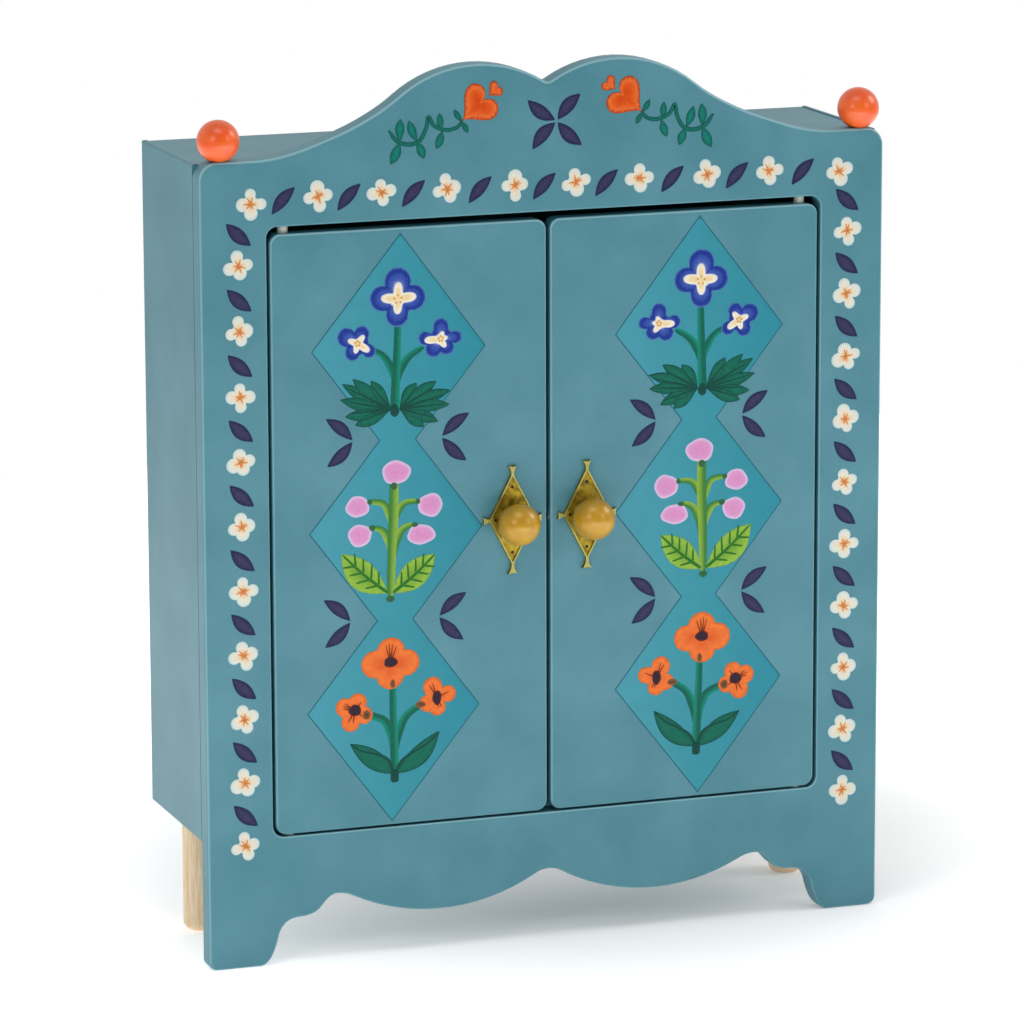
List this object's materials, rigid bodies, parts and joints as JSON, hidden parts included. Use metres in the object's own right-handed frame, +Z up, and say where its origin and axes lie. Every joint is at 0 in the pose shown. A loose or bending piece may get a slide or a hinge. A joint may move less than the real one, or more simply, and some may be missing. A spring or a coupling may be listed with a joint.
{
  "type": "miniature wardrobe",
  "caption": "Miniature play wardrobe with a scalloped front, two hinged doors with bead knobs on brass lozenge plates, bead finials, dowel rear legs and a rail for doll clothes.",
  "frame": {"origin": "on the standing surface, under the middle of the whole wardrobe's box", "axes": "+Z up, +Y from the doors to the back, +X to the right of someone facing the doors"},
  "size_m": [0.24, 0.0816, 0.2987],
  "materials": {
    "teal_paint": "satin teal paint on fibreboard",
    "pale_wood": "unfinished pale beech",
    "orange_lacquer": "glossy orange lacquer on a wooden bead",
    "ochre_lacquer": "pearly ochre gold lacquer on a wooden bead",
    "aged_brass": "aged stamped brass",
    "black_steel": "blackened steel",
    "zinc_steel": "zinc plated steel",
    "nickel": "nickel plated magnet"
  },
  "bodies": {
    "cabinet": {"front_frame": "teal_paint", "top_panel": "teal_paint", "floor_panel": "teal_paint", "back_panel": "teal_paint", "clothes_rail": "pale_wood", "left_side_panel": "teal_paint", "left_rail_cleat": "teal_paint", "left_rear_leg": "pale_wood", "left_finial_ball": "orange_lacquer", "left_finial_peg": "pale_wood", "right_side_panel": "teal_paint", "right_rail_cleat": "teal_paint", "right_rear_leg": "pale_wood", "right_finial_ball": "orange_lacquer", "right_finial_peg": "pale_wood"},
    "left_leaf": {"left_door": "teal_paint", "left_door_top_pin": "pale_wood", "left_door_bottom_pin": "pale_wood", "left_door_magnet": "nickel", "left_knob_plate": "aged_brass", "left_plate_top_nail": "black_steel", "left_plate_bottom_nail": "black_steel", "left_plate_outer_nail": "black_steel", "left_plate_inner_nail": "black_steel", "left_knob_ball": "ochre_lacquer", "left_knob_screw": "zinc_steel"},
    "right_leaf": {"right_door": "teal_paint", "right_door_top_pin": "pale_wood", "right_door_bottom_pin": "pale_wood", "right_door_magnet": "nickel", "right_knob_plate": "aged_brass", "right_plate_top_nail": "black_steel", "right_plate_bottom_nail": "black_steel", "right_plate_outer_nail": "black_steel", "right_plate_inner_nail": "black_steel", "right_knob_ball": "ochre_lacquer", "right_knob_screw": "zinc_steel"}
  },
  "joints": [
    {"name": "left_door_hinge", "type": "hinge", "parent": "cabinet", "child": "left_leaf", "pos_m": [-0.0908, -0.0222, 0.145], "axis": [0, 0, -1], "range_deg": [0, 110]},
    {"name": "right_door_hinge", "type": "hinge", "parent": "cabinet", "child": "right_leaf", "pos_m": [0.0908, -0.0222, 0.145], "axis": [0, 0, 1], "range_deg": [0, 110]}
  ]
}
